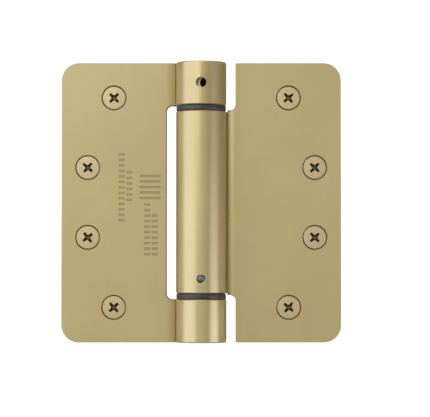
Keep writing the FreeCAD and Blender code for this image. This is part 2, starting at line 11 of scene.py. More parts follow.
import bmesh
import bpy
import numpy as np
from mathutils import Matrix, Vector


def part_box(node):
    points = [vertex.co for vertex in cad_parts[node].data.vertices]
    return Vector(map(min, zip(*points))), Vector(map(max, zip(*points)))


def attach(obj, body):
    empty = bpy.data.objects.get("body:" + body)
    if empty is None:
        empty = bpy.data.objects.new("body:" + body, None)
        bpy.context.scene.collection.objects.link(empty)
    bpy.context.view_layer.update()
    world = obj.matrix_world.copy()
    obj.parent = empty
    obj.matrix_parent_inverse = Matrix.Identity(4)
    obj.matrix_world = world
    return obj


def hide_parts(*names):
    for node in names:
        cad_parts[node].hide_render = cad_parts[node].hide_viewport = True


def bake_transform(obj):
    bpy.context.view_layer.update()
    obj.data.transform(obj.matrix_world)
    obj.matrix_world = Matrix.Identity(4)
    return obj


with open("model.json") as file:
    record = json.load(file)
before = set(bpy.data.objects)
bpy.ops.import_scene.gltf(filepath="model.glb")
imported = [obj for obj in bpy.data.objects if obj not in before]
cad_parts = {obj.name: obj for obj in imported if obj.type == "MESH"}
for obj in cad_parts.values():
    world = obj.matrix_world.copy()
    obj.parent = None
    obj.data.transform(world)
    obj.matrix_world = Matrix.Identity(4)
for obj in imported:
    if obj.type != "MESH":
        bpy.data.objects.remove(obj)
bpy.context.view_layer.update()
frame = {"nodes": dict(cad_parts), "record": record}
nodes = frame["nodes"]
MM = 0.001
TAU = 2 * np.pi

# %% [markdown]
# ## Measures from the frame
# Sizes could be typed in, but then a change in the CAD would leave the looks behind. So every
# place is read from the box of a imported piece. The frame leaf's box gives the radius of its
# rolled knuckles, and each screw's box gives its own axis, head and tip.


# %% Boxes in millimetres
def box_mm(node):
    """Lowest and highest corner of a CAD node, as two arrays in millimetres."""
    low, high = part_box(node)
    return np.array(low, float) / MM, np.array(high, float) / MM


roll_radius = box_mm("frame_leaf")[1][0]
print("roll radius, mm:", round(roll_radius, 2))

# %% [markdown]
# ## The camera
# The hinge is seen square on, from the side of the screw heads. A lens close by would spread the
# leaves apart like an open book. A long lens from farther off keeps them flat. The camera stands
# a little below the middle and looks up a touch, so the barrel's rounded top shows as an arch.

# %% Camera
VIEW_DISTANCE = 0.740
VIEW_WIDTH = 0.1562
CAMERA_DROP = 0.026
AIM = Vector((0.0050, 0.0008, -0.0022))

camera_data = bpy.data.cameras.new("camera")
camera_data.sensor_width = 36
camera_data.lens = camera_data.sensor_width * VIEW_DISTANCE / VIEW_WIDTH
camera = bpy.data.objects.new("camera", camera_data)
bpy.context.scene.collection.objects.link(camera)
camera.location = (AIM.x, AIM.y - VIEW_DISTANCE, -CAMERA_DROP)
camera.rotation_euler = (AIM - camera.location).to_track_quat("-Z", "Y").to_euler()
bpy.context.scene.camera = camera
print("lens", round(camera_data.lens, 1), "mm")

# %% [markdown]
# ## Grids into meshes
# A round piece could start from a cylinder and be cut to shape, but boolean cuts leave ragged
# faces. Most new pieces here are a grid of points instead: one parameter runs along the shape
# and one runs round it. A grid that closes on itself has no seam, and a row that shrinks to a
# point is merged into one vertex, so each piece is a closed skin.


# %% From a grid of points to a smooth mesh
def grid_mesh(name, points, round_wraps=True, along_wraps=False, sharp=40):
    """A mesh from points[row, step], in millimetres.

    Neighbouring rows and steps make four-cornered faces. Equal points are merged, faces are
    turned outwards, and only edges that bend more than the sharp angle stay hard.
    """
    rows, steps = points.shape[:2]
    index = np.arange(rows * steps).reshape(rows, steps)
    ahead = np.roll(index, -1, axis=1)
    below, below_ahead = np.roll(index, -1, axis=0), np.roll(ahead, -1, axis=0)
    faces = np.stack([index, ahead, below_ahead, below], axis=-1)
    faces = faces[: rows if along_wraps else rows - 1, : steps if round_wraps else steps - 1]
    mesh = bpy.data.meshes.new(name)
    mesh.from_pydata((points.reshape(-1, 3) * MM).tolist(), [], faces.reshape(-1, 4).tolist())
    skin = bmesh.new()
    skin.from_mesh(mesh)
    bmesh.ops.remove_doubles(skin, verts=skin.verts, dist=1e-3 * MM)
    bmesh.ops.recalc_face_normals(skin, faces=skin.faces)
    skin.to_mesh(mesh)
    skin.free()
    mesh.shade_smooth()
    mesh.set_sharp_from_angle(angle=np.radians(sharp))
    piece = bpy.data.objects.new(name, mesh)
    bpy.context.scene.collection.objects.link(piece)
    return piece


print("grid helper ready")

# %% [markdown]
# ## A new piece in a node's place
# Each new piece stands for one CAD node. It must ride on the same moving body, or the hinge
# would come apart when it swings. The pack's record lists the bodies, so they are looked up
# there and never written by hand. The piece takes the finish it is given.


# %% Stand for a node
def stand_for(piece, node, material):
    """Puts the piece on its node's body, in the node's stead, with the finish it is given."""
    bodies = frame["record"]["behaviour"]["bodies"].items()
    body = next(name for name, members in bodies if node in members)
    piece.data.materials.clear()
    piece.data.materials.append(material)
    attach(piece, body)
    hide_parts(node)
    print(piece.name, len(piece.data.polygons), "faces, stands for", node)
    return piece


# %% [markdown]
# ## Turned pieces
# Bearings, rings and caps come off a lathe or out of a round mould. The Screw modifier could
# turn a profile too, but a grid gives full control of where its rows lie. A maker never leaves a
# knife edge, so every corner of the profile is an arc. One more point beside each arc keeps the
# flats looking flat when the mesh is shaded smooth.


# %% A profile with round corners
def rounded_profile(corners, closed=True, steps=5):
    """The corners joined by straights, each corner (a, b, radius) cut by an arc of that radius.

    The arc's ends lie radius * tan(turn / 2) from the corner, and its points come from
    weighting the two ends and the corner as a quadratic curve, which is close to a circle.
    """
    spots = np.array([corner[:2] for corner in corners], float)
    radii = [corner[2] for corner in corners]
    count = len(corners)
    t = np.linspace(0, 1, steps + 1)[:, None]
    pieces = []
    for i in range(count):
        here = spots[i]
        at_end = not closed and i in (0, count - 1)
        if at_end or radii[i] == 0:
            pieces.append(here[None])
            continue
        to_last, to_next = spots[i - 1] - here, spots[(i + 1) % count] - here
        unit_last = to_last / np.linalg.norm(to_last)
        unit_next = to_next / np.linalg.norm(to_next)
        turn = np.pi - np.arccos(np.clip(unit_last @ unit_next, -1, 1))
        reach = radii[i] * np.tan(turn / 2)
        start, stop = here + unit_last * reach, here + unit_next * reach
        curve = (1 - t) ** 2 * start + 2 * t * (1 - t) * here + t**2 * stop
        guard = reach * 0.35
        pieces.append(np.vstack([start + unit_last * guard, curve, stop + unit_next * guard]))
    return np.vstack(pieces)


square = [(0, 0, 0.2), (1, 0, 0.2), (1, 1, 0.2), (0, 1, 0.2)]
print("a rounded square has", len(rounded_profile(square)), "points")

# %% [markdown]
# The profile is then carried round the pivot. A hundred and twenty steps are enough: the
# barrel's bearings are the widest round piece, and their outline shows no flats at that count.

# %% The profile on the lathe
LATHE_STEPS = 120


def lathe(name, corners, segments=LATHE_STEPS, closed=True):
    """The rounded profile carried round the Z axis: x = r cos a, y = r sin a, z = height."""
    profile = rounded_profile(corners, closed)
    angle = np.arange(segments) / segments * TAU
    radius, height = profile[:, :1], profile[:, 1:]
    points = np.stack(
        [radius * np.cos(angle), radius * np.sin(angle), height + 0 * angle], axis=-1
    )
    return grid_mesh(name, points, along_wraps=closed)


print("the lathe makes", LATHE_STEPS, "steps a turn")

# %% [markdown]
# ## Small helpers for finishes
# A finish is a Principled shader fed by noise in Object coordinates. Nodes could be placed by
# hand in the editor, but short helpers make the same recipe readable and easy to repeat. The
# pieces are in metres, so a noise of scale 1000 has grains one millimetre across. Stretching
# the coordinates turns grains into brush lines.


# %% A material and its nodes
class ShaderTree:
    """A new material, its Principled shader, and a way to add and link nodes."""

    def __init__(self, name):
        self.material = bpy.data.materials.new(name)
        self.material.use_nodes = True
        self.tree = self.material.node_tree
        self.shader = self.tree.nodes["Principled BSDF"]
        self.place = self.add("ShaderNodeTexCoord").outputs["Object"]

    def add(self, kind, **settings):
        """A new node with its settings."""
        node = self.tree.nodes.new(kind)
        for key, value in settings.items():
            setattr(node, key, value)
        return node

    def feed(self, socket, value):
        """Links a socket's output or sets a plain value."""
        if isinstance(value, bpy.types.NodeSocket):
            self.tree.links.new(value, socket)
        else:
            socket.default_value = value

    def set(self, **values):
        """Sets the shader's sockets: underscores stand for spaces."""
        for key, value in values.items():
            self.feed(self.shader.inputs[key.replace("_", " ")], value)

    def axes(self):
        """The x, y and z of the point, as three sockets."""
        parts = self.add("ShaderNodeSeparateXYZ")
        self.feed(parts.inputs[0], self.place)
        return [parts.outputs[i] for i in range(3)]


print("shader trees can be built")

# %% [markdown]
# On top of the bare nodes come the steps that every finish here uses: noise, a sum, a ramp, a
# blend and a bump. Each returns the socket that the next step reads, so a recipe reads from top
# to bottom like cooking.


# %% Noise, sums, ramps, blends and bump
class Finish(ShaderTree):
    """A shader tree whose methods make the usual steps of a finish."""

    def noise(self, scale, stretch=(1, 1, 1), detail=4, rough=0.55):
        """Soft noise, its coordinates first multiplied by stretch."""
        mapping = self.add("ShaderNodeMapping")
        self.feed(mapping.inputs["Vector"], self.place)
        mapping.inputs["Scale"].default_value = stretch
        node = self.add("ShaderNodeTexNoise")
        self.feed(node.inputs["Vector"], mapping.outputs["Vector"])
        node.inputs["Scale"].default_value = scale
        node.inputs["Detail"].default_value = detail
        node.inputs["Roughness"].default_value = rough
        return node.outputs["Fac"]

    def math(self, operation, a, b=0.0):
        """One sum on one or two numbers."""
        node = self.add("ShaderNodeMath", operation=operation)
        self.feed(node.inputs[0], a)
        self.feed(node.inputs[1], b)
        return node.outputs[0]

    def ramp(self, value, low, high, out_low, out_high):
        """Value mapped from one range to another, held at the ends."""
        node = self.add("ShaderNodeMapRange")
        settings = zip(("Value", "From Min", "From Max", "To Min", "To Max"),
                       (value, low, high, out_low, out_high))
        for key, setting in settings:
            self.feed(node.inputs[key], setting)
        return node.outputs["Result"]

    def mix(self, factor, first, second):
        """A blend of two colours or numbers."""
        colours = not isinstance(first, (int, float, bpy.types.NodeSocketFloat))
        node = self.add("ShaderNodeMix", data_type="RGBA" if colours else "FLOAT")
        a, b = (6, 7) if colours else (2, 3)
        self.feed(node.inputs[0], factor)
        self.feed(node.inputs[a], first)
        self.feed(node.inputs[b], second)
        return node.outputs[2 if colours else 0]

    def bump(self, height, depth_mm, strength=1.0):
        """Tilts the surface by a height, its full range that many millimetres deep."""
        node = self.add("ShaderNodeBump")
        node.inputs["Strength"].default_value = strength
        node.inputs["Distance"].default_value = depth_mm * MM
        self.feed(node.inputs["Height"], height)
        self.feed(self.shader.inputs["Normal"], node.outputs["Normal"])


print("finish helpers ready")

# %% [markdown]
# ## Where the brush lines turn
# The leaves are steel, plated with brass, brushed and lacquered. The brush runs up and down on
# the flats but round the barrel. Each leaf could carry two materials that meet at the bend, but
# a hard line would show there. The finish measures how far a point is from the pivot instead,
# and blends from one kind of line to the other.

# %% Distance from the pivot
ROLL_ENDS = roll_radius * 1.06
FLAT_STARTS = roll_radius * 1.4


def pivot_distance(finish):
    """The distance of a point from the pivot axis: the length of its x and y."""
    across, depth, _ = finish.axes()
    flat = finish.add("ShaderNodeCombineXYZ")
    finish.feed(flat.inputs[0], across)
    finish.feed(flat.inputs[1], depth)
    length = finish.add("ShaderNodeVectorMath", operation="LENGTH")
    finish.feed(length.inputs[0], flat.outputs[0])
    return length.outputs["Value"]


print("the lines turn between", round(ROLL_ENDS, 2), "and", round(FLAT_STARTS, 2), "mm")

# %% [markdown]
# ## Painted shade in the hollows
# The stamped bars and the ring round each screw head lie in shade, and that shade is painted
# into the colour as a dark brass. The tone could be painted on the vertices, but a CAD mesh has
# long thin triangles that hold no paint. A formula works at every point: it marks what lies a
# little behind the leaf's face, near a screw or in the stamped area.

# %% How far a point is in a hollow
SCREW_SINK = 0.35
LEAF_FACE = round(box_mm("door_screw_1")[0][1] - SCREW_SINK, 3)
COUNTERSINK_RADIUS = 4.6
STAMPS_NEAR, STAMPS_FAR, STAMPS_HIGH = 13.6, 33, 44
STAMP_SHADE = 0.42


def screw_distance(finish, across, up):
    """Distance to the nearest screw axis: absolute x and z let one screw stand for four."""
    nearest = 100.0
    for number in (1, 2):
        low, high = box_mm(f"door_screw_{number}")
        aside = finish.math("SUBTRACT", across, float(low[0] + high[0]) / 2)
        above = finish.math("SUBTRACT", up, float(low[2] + high[2]) / 2)
        aside = finish.math("MULTIPLY", aside, aside)
        above = finish.math("MULTIPLY", above, above)
        distance = finish.math("SQRT", finish.math("ADD", aside, above))
        nearest = finish.math("MINIMUM", nearest, distance)
    return nearest


def shaded_hollows(finish):
    """One in a countersink, the stamps' shade in a stamped bar, and zero elsewhere.

    Each is a product of ramps: how far the point lies behind the leaf's face, and where it is
    on the leaf. The larger of the two counts.
    """
    across, depth, up = (finish.math("MULTIPLY", axis, 1 / MM) for axis in finish.axes())
    across, up = finish.math("ABSOLUTE", across), finish.math("ABSOLUTE", up)
    nearest = screw_distance(finish, across, up)
    behind_face = finish.ramp(depth, LEAF_FACE + 0.04, LEAF_FACE + 0.12, 0.0, 1.0)
    in_sheet = finish.ramp(depth, LEAF_FACE + 2.1, LEAF_FACE + 2.3, 1.0, 0.0)
    near_screw = finish.ramp(nearest, COUNTERSINK_RADIUS, COUNTERSINK_RADIUS + 0.3, 1.0, 0.0)
    in_sink = finish.math("MULTIPLY", near_screw, finish.math("MULTIPLY", behind_face, in_sheet))
    not_deep = finish.ramp(depth, LEAF_FACE + 0.3, LEAF_FACE + 0.5, 1.0, 0.0)
    beyond_roll = finish.ramp(across, STAMPS_NEAR, STAMPS_NEAR + 0.2, 0.0, 1.0)
    before_screws = finish.ramp(across, STAMPS_FAR, STAMPS_FAR + 1, 1.0, 0.0)
    low_enough = finish.ramp(up, STAMPS_HIGH, STAMPS_HIGH + 1, 1.0, 0.0)
    in_stamp = finish.math("MULTIPLY", behind_face, not_deep)
    for limit in (beyond_roll, before_screws, low_enough, STAMP_SHADE):
        in_stamp = finish.math("MULTIPLY", in_stamp, limit)
    return finish.math("MAXIMUM", in_sink, in_stamp)


print("the leaf's face is at", LEAF_FACE, "mm, and countersinks are shaded to", COUNTERSINK_RADIUS)

# %% [markdown]
# ## Satin brass
# Three things make plated brass read as real: fine brush lines, a slow drift of tone where the
# plate is thicker or handled, and a clear lacquer over it all. A bare metal shader gives only
# yellow highlights. The coat lays a paler, softer one on top, as lacquer does, so the broad
# stripe down the barrel turns almost cream. The rolled barrel is smoother than the flats.

# %% Satin brass on the leaves
FRESH_BRASS = (0.421, 0.326, 0.104, 1)
HANDLED_BRASS = (0.451, 0.353, 0.121, 1)
HOLLOW_SHADE_BRASS = (0.10, 0.072, 0.028, 1)
FLAT_ROUGH, BARREL_ROUGH = 0.52, 0.34


def satin_brass():
    """Brushed, lacquered plate, its lines and gloss different on the flats and the barrel."""
    finish = Finish("satin_brass_leaf")
    on_flat = finish.ramp(pivot_distance(finish), ROLL_ENDS * MM, FLAT_STARTS * MM, 0.0, 1.0)
    up_lines = finish.noise(2400, (1, 1, 0.02))
    round_lines = finish.noise(2400, (0.02, 0.02, 1))
    lines = finish.mix(on_flat, round_lines, up_lines)
    drift = finish.math("MULTIPLY", finish.noise(34, detail=3), 0.75)
    mottle = finish.noise(420, detail=6, rough=0.65)
    tone = finish.math("ADD", drift, finish.math("MULTIPLY", mottle, 0.25))
    colour = finish.mix(finish.ramp(tone, 0.36, 0.64, 0.0, 1.0), FRESH_BRASS, HANDLED_BRASS)
    # Painted shade: the countersinks and stamped bars are darkened towards a dark brass.
    hollow_shade = shaded_hollows(finish)
    colour = finish.mix(finish.math("MULTIPLY", hollow_shade, 0.8), colour, HOLLOW_SHADE_BRASS)
    soft = finish.mix(on_flat, BARREL_ROUGH, FLAT_ROUGH)
    rough = finish.math("ADD", soft, finish.ramp(lines, 0.3, 0.7, -0.03, 0.03))
    rough = finish.math("ADD", rough, finish.ramp(mottle, 0.3, 0.7, -0.02, 0.02))
    finish.set(Base_Color=colour, Metallic=0.8, Roughness=rough)
    finish.set(Specular_Tint=(0.90, 0.86, 0.78, 1), Coat_Roughness=0.30, Coat_IOR=1.75)
    finish.set(Coat_Weight=finish.ramp(hollow_shade, 0.0, 1.0, 1.0, 0.3))
    finish.bump(lines, 0.0022, 0.5)
    return finish.material


leaf_brass = satin_brass()
for node in ("frame_leaf", "door_leaf"):
    nodes[node].data.materials.clear()
    nodes[node].data.materials.append(leaf_brass)
print("satin brass on both leaves")

# %% [markdown]
# ## Brass on the screws
# Screws are plated by the basket, in another batch than the leaves, so they come out warmer and
# paler. They tumble against each other, and short scuffs cross their faces. One brass for both
# would be quicker, but the heads would then sink into the leaf. The cross recess is painted dark
# as shade. A mark stored on each head's points says where it is.


# %% Screw brass
def screw_brass():
    """Mottled plate with scuffs in its gloss, dark where the recess mark is high."""
    finish = Finish("satin_brass_screw")
    mottle = finish.noise(900, detail=5, rough=0.6)
    scuffs = finish.noise(1500, (1, 0.2, 0.05))
    tone = finish.ramp(mottle, 0.35, 0.65, 0.0, 1.0)
    colour = finish.mix(tone, (0.45, 0.350, 0.165, 1), (0.51, 0.400, 0.205, 1))
    # Painted shade: the cross recess is darkened by how deep each point lies.
    painted_recess_shade = finish.add("ShaderNodeAttribute", attribute_name="recess").outputs["Fac"]
    dark = finish.ramp(painted_recess_shade, 0.1, 0.85, 0.0, 0.88)
    colour = finish.mix(dark, colour, (0.080, 0.055, 0.024, 1))
    finish.set(Base_Color=colour, Metallic=0.7, Roughness=finish.ramp(scuffs, 0.3, 0.7, 0.34, 0.46))
    finish.set(Coat_Weight=finish.ramp(painted_recess_shade, 0.1, 0.5, 0.8, 0.1), Coat_Roughness=0.3)
    finish.bump(mottle, 0.004, 0.5)
    return finish.material


head_brass = screw_brass()
print("finish", head_brass.name)

# %% [markdown]
# ## Moulded nylon
# The bearings are black nylon, which is never quite black. The mould leaves a fine grain that
# softens its gloss. A flat dark colour would look like a hole between the knuckles, so the
# grain goes into both the gloss and the bump.


# %% Black nylon
def black_nylon():
    """Near-black plastic, its gloss and bump broken up by the mould's grain."""
    finish = Finish("black_bearing")
    grain = finish.noise(3200, detail=3)
    drift = finish.noise(260)
    colour = finish.mix(drift, (0.010, 0.0085, 0.008, 1), (0.020, 0.017, 0.016, 1))
    finish.set(Base_Color=colour, Roughness=finish.ramp(grain, 0.3, 0.7, 0.34, 0.46))
    finish.set(IOR=1.53, Specular_IOR_Level=0.6)
    finish.bump(grain, 0.004, 0.6)
    return finish.material


nylon = black_nylon()
print("finish", nylon.name)

# %% [markdown]
# ## Steel inside the barrel
# The washer, the plug and the lower pivot are zinc plated, the retaining ring is oil blacked,
# and the spring is dark oil-tempered wire. Four recipes could be written, but all of them are
# steel with tool lines and a cloudy tone. One function makes them all from two tones, a
# roughness and the way its lines run.


# %% Bare steel in several tones
def bare_steel(name, dark, light, rough, stretch=(0.05, 0.05, 1)):
    """Steel whose stretched noise makes tool lines, and whose soft noise blends two tones."""
    finish = Finish(name)
    lines = finish.noise(2600, stretch, detail=5)
    cloud = finish.noise(300, detail=5, rough=0.6)
    colour = finish.mix(finish.ramp(cloud, 0.35, 0.65, 0.0, 1.0), (*dark, 1), (*light, 1))
    finish.set(Base_Color=colour, Metallic=1.0)
    finish.set(Roughness=finish.ramp(lines, 0.3, 0.7, rough - 0.06, rough + 0.06))
    finish.bump(lines, 0.006, 0.6)
    return finish.material


EVEN = (1, 1, 1)
zinc = bare_steel("zinc_steel", (0.40, 0.40, 0.40), (0.55, 0.55, 0.54), 0.32)
oiled = bare_steel("dark_steel", (0.045, 0.043, 0.042), (0.08, 0.077, 0.074), 0.42)
pin_steel = bare_steel("pin_steel", (0.10, 0.095, 0.085), (0.20, 0.19, 0.17), 0.30, EVEN)
wire_steel = bare_steel("spring_steel", (0.14, 0.13, 0.125), (0.24, 0.22, 0.21), 0.36, EVEN)
for node in ("thrust_washer", "spring_plug", "pivot_pin"):
    nodes[node].data.materials.clear()
    nodes[node].data.materials.append(zinc)
print("four steels, three pieces zinc plated")

# %% [markdown]
# ## The hub and its dark pin holes
# The hub's head has a ring of holes for the tension pin, and one of them shows through the hole
# in the top knuckle. Light could be left to find its own way into it, but the hub is hollow and
# too much would come back. So the shade in the holes is painted: the finish blackens what lies
# inside the head, near the holes' own height. That height is a mount in the record.

# %% Hub steel with painted shade in the pin holes
PIN_HOLE_REACH = 2.0
hub_radius = box_mm("tension_hub")[1][0]
mounts = {mount["name"]: mount["pos_m"] for mount in frame["record"]["mounts"]}
pin_hole_height = mounts["tension_pin_hole"][2]


def hub_steel():
    """Plated steel, black where a point is inside the head and level with the pin holes."""
    finish = Finish("hub_steel_painted_hole_shade")
    inner, skin = hub_radius * MM * 0.93, hub_radius * MM * 0.99
    under_skin = finish.ramp(pivot_distance(finish), inner, skin, 1.0, 0.0)
    rise = finish.math("ABSOLUTE", finish.math("SUBTRACT", finish.axes()[2], pin_hole_height))
    level = finish.ramp(rise, PIN_HOLE_REACH * MM, (PIN_HOLE_REACH + 0.4) * MM, 1.0, 0.0)
    lines = finish.noise(2600, (0.05, 0.05, 1), detail=5)
    cloud = finish.noise(300, detail=5, rough=0.6)
    plated = finish.mix(cloud, (0.30, 0.27, 0.21, 1), (0.46, 0.42, 0.34, 1))
    # Painted shade: the inside of the pin holes is coloured near black.
    painted_hole_shade = finish.math("MULTIPLY", under_skin, level)
    colour = finish.mix(painted_hole_shade, plated, (0.012, 0.009, 0.006, 1))
    finish.set(Base_Color=colour, Metallic=0.9)
    finish.set(Roughness=finish.ramp(lines, 0.3, 0.7, 0.3, 0.42))
    finish.bump(lines, 0.004, 0.5)
    return finish.material


nodes["tension_hub"].data.materials.clear()
nodes["tension_hub"].data.materials.append(hub_steel())
print("pin holes at", round(pin_hole_height / MM, 2), "mm")

# %% [markdown]
# ## The driver's cross
# A flat-head screw is driven by a cross pressed into its face. It could be cut with a boolean,
# which leaves thin faces that shade badly. Here the face simply dips: the depth at each point is
# a formula, so the recess has steep walls, a sloping floor and a wider middle.

# %% Depth of the recess
CROSS_REACH = 2.15
CROSS_WALL = 0.11
CROSS_DEEPEST = 2.5


def cross_recess(along, across):
    """Depth of the driver's cross at a point of the head.

    Each arm is a slot whose floor falls steeply from its end to the middle. Its half width
    flares near the centre, and its side walls lean over a tenth of a millimetre. The cross is
    the deeper of the two arms.
    """

    def arm(u, v):
        u, v = np.abs(u), np.abs(v)
        half_width = 0.44 + 0.40 * np.exp(-((u / 0.8) ** 2))
        floor = np.minimum(0.9 + (CROSS_REACH - u) * 1.1, CROSS_DEEPEST)
        side = np.clip((half_width - v) / CROSS_WALL, 0, 1)
        end = np.clip((CROSS_REACH - u) / CROSS_WALL, 0, 1)
        return floor * side * end

    return np.maximum(arm(along, across), arm(across, along))


print("depth at the middle of the cross:", float(cross_recess(0, 0)), "mm")

# %% [markdown]
# ## The screw in one skin
# A wood screw is a head, a cone, a thread and a point. The thread could be a separate coil sunk
# into a rod, but the two skins would cross. One grid does it all: its radius depends on the row
# and also on the angle, because the thread climbs as it goes round.

# %% Sizes of a screw
head_low, head_high = box_mm("frame_screw_1")
FACE = head_low[1]
TIP = head_high[1]
HEAD_GAP = 0.04
HEAD_RADIUS = (head_high[0] - head_low[0]) / 2 - HEAD_GAP
RIM_ROUND = 0.2
CROWN = 0.06
CONE_SLOPE = np.tan(np.radians(41))
THREAD_RADIUS = 2.2
ROOT_RADIUS = 1.62
THREAD_PITCH = 1.81
RIDGE_SHARE = 0.62
NECK = 1.2
POINT = 5.2
print("screw from", round(FACE, 2), "to", round(TIP, 2), "mm, head radius", round(HEAD_RADIUS, 2))

# %% [markdown]
# The rows are crowded where the shape is busy: forty-four across the cross, but only ten down
# the plain cone. The thread has about fourteen rows to each of its turns.


# %% Head of the screw
def head_rows(angle):
    """Radius and depth of the face, the rim and the cone, row by row.

    The face crowns with the square of its radius and dips by the cross. The rim is a quarter
    circle, and on the cone the depth grows as the radius shrinks, over the cone's slope.
    """
    rim_start = HEAD_RADIUS - RIM_ROUND
    face_r = np.concatenate([np.linspace(0, 2.3, 44), np.linspace(2.45, rim_start, 7)])[:, None]
    recess = cross_recess(face_r * np.cos(angle), face_r * np.sin(angle))
    face_y = FACE + CROWN * (face_r / rim_start) ** 2 + recess
    bend = np.linspace(0, np.pi / 2, 7)[1:, None]
    rim_r = rim_start + RIM_ROUND * np.sin(bend)
    rim_y = FACE + CROWN + RIM_ROUND * (1 - np.cos(bend))
    cone_r = np.linspace(HEAD_RADIUS - 0.02, THREAD_RADIUS, 10)[:, None]
    cone_y = rim_y[-1] + 0.02 + (HEAD_RADIUS - 0.02 - cone_r) / CONE_SLOPE
    flat = 0 * angle
    return (np.vstack([face_r + flat, rim_r + flat, cone_r + flat]),
            np.vstack([face_y, rim_y + flat, cone_y + flat]))


print("the rim is", round(HEAD_RADIUS, 2), "mm out and", RIM_ROUND, "mm round")

# %% [markdown]
# The thread is a ridge on a core. It starts thick and plain under the cone, where it fills its
# hole in the leaf, and thins to the root as the ridge grows out of it.


# %% Thread and point
def shank_rows(angle, start):
    """Radius and depth of the threaded shank from the cone to the point.

    The turn count is depth / pitch less angle / full turn, and the ridge is highest where it
    is a whole number. Past the neck the thread grows, and near the tip everything tapers.
    """
    y = np.linspace(start + 0.15, TIP, 170)[:, None]
    turn = y / THREAD_PITCH - angle / TAU
    crest = np.abs(turn - np.round(turn)) * 2
    ridge = np.clip(1 - crest / RIDGE_SHARE, 0, 1)
    grown = np.clip((y - start - NECK) / THREAD_PITCH, 0, 1)
    taper = np.clip((TIP - y) / POINT, 0, 1) ** 0.8
    core = THREAD_RADIUS + (ROOT_RADIUS - THREAD_RADIUS) * grown
    radius = (core + (THREAD_RADIUS - ROOT_RADIUS) * grown * ridge) * taper
    return radius, y + 0 * angle


print("ridge height", round(THREAD_RADIUS - ROOT_RADIUS, 2), "mm")


# %% The whole screw
def screw_grid(segments=144):
    """Points of a screw along +Y, its axis at x = z = 0: x = r cos a, y = depth, z = r sin a."""
    angle = np.arange(segments) / segments * TAU
    head_r, head_y = head_rows(angle)
    shank_r, shank_y = shank_rows(angle, float(head_y[-1, 0]))
    radius, depth = np.vstack([head_r, shank_r]), np.vstack([head_y, shank_y])
    return np.stack([radius * np.cos(angle), depth, radius * np.sin(angle)], axis=-1)


screw_points = screw_grid()
print("screw grid", screw_points.shape)

# %% [markdown]
# ## Eight screws
# Eight copies with the same turn would look stamped out. Each screw stopped at its own angle
# when it was driven home, so each is turned about its axis by a few degrees from a diagonal
# cross. They share one grid, and each is written out at its own node's axis.


# %% Eight screws in place
def mark_recess(mesh, axis_x, axis_z):
    """Writes how far each point lies under the head's face, within the cross's reach."""
    spots = np.empty(len(mesh.vertices) * 3, np.float32)
    mesh.vertices.foreach_get("co", spots)
    x, y, z = spots.reshape(-1, 3).T / MM
    near = np.hypot(x - axis_x, z - axis_z) < CROSS_REACH + 0.15
    depth = np.where(near & (y < FACE + 2.7), np.clip(y - FACE - 0.05, 0, 1), 0)
    attribute = mesh.attributes.new("recess", "FLOAT", "POINT")
    attribute.data.foreach_set("value", depth.astype(np.float32))


def turned_about_axis(points, degrees, axis_x, axis_z):
    """The points turned about Y: x = x cos + z sin, z = z cos - x sin, then moved to the axis."""
    cos, sin = np.cos(np.radians(degrees)), np.sin(np.radians(degrees))
    spun = points.copy()
    spun[..., 0] = points[..., 0] * cos + points[..., 2] * sin + axis_x
    spun[..., 2] = points[..., 2] * cos - points[..., 0] * sin + axis_z
    return spun


STOPPED_AT = {"frame": (44, 41, 52, 47), "door": (49, 43, 46, 40)}
for owner, turns in STOPPED_AT.items():
    for number, turn in enumerate(turns, start=1):
        node = f"{owner}_screw_{number}"
        low, high = box_mm(node)
        axis_x, _, axis_z = (low + high) / 2
        placed = turned_about_axis(screw_points, turn, axis_x, axis_z)
        screw = stand_for(grid_mesh(f"threaded_{node}", placed, sharp=50), node, head_brass)
        mark_recess(screw.data, axis_x, axis_z)

# %% [markdown]
# ## The flanged bearings
# The bearings keep the brass knuckles from rubbing. Each is a flange that shows between two
# knuckles, on a sleeve that fills the bore below. A plain ring would do for the part that shows,
# but the sleeve is there for anyone who opens the hinge. The rims are well rounded, as moulded
# edges are, and this round catches a line of light.

# %% Two moulded bearings
SLEEVE_RADIUS = box_mm("spring_plug")[1][0]
FLANGE_THICKNESS = 2.05


def flanged_bearing(node, bore):
    """A flange of the node's own radius over a sleeve that fills the bore below it."""
    low, high = box_mm(node)
    rim, top, bottom = high[0], high[2], low[2]
    shoulder = top - FLANGE_THICKNESS
    corners = [
        (bore, top, 0.15), (rim, top, 0.55), (rim, shoulder, 0.55),
        (SLEEVE_RADIUS, shoulder, 0.05), (SLEEVE_RADIUS, bottom, 0.35), (bore, bottom, 0.2),
    ]
    return stand_for(lathe(f"moulded_{node}", corners), node, nylon)


flanged_bearing("upper_bearing", bore=5.05)
flanged_bearing("lower_bearing", bore=4.05)

# %% [markdown]
# ## The bottom cap and the retaining ring
# The cap closes the lower knuckle, and its face is dished so that it does not rock on a bench.
# The ring is punched from sheet, so one edge is rounder than the other. Both could keep their
# CAD shape, but its corners are sharp and catch no light.

# %% Cap and ring
RING_BORE = 4.4
DISH = 0.35
low, high = box_mm("bottom_cap")
rim = high[0]
cap_corners = [
    (0, low[2] + DISH, 0), (rim * 0.62, low[2] + DISH, 0.6), (rim * 0.74, low[2], 0.3),
    (rim, low[2], 0.45), (rim, high[2], 0.12), (0, high[2], 0),
]
stand_for(lathe("turned_bottom_cap", cap_corners, closed=False), "bottom_cap", leaf_brass)

low, high = box_mm("hub_retaining_ring")
ring_corners = [
    (RING_BORE, low[2], 0.15), (high[0], low[2], 0.15),
    (high[0], high[2], 0.25), (RING_BORE, high[2], 0.35),
]
stand_for(lathe("stamped_retaining_ring", ring_corners), "hub_retaining_ring", oiled)

# %% [markdown]
# ## The anchor pin
# A steel pin crosses the barrel near its foot, holds the spring's plug, and shows as a grey dot
# in a dark hole. It could be a rod with flat ends, but a cut and tumbled pin has domed ends with
# a small dimple. It is a turned profile too, about the Y axis instead of Z.

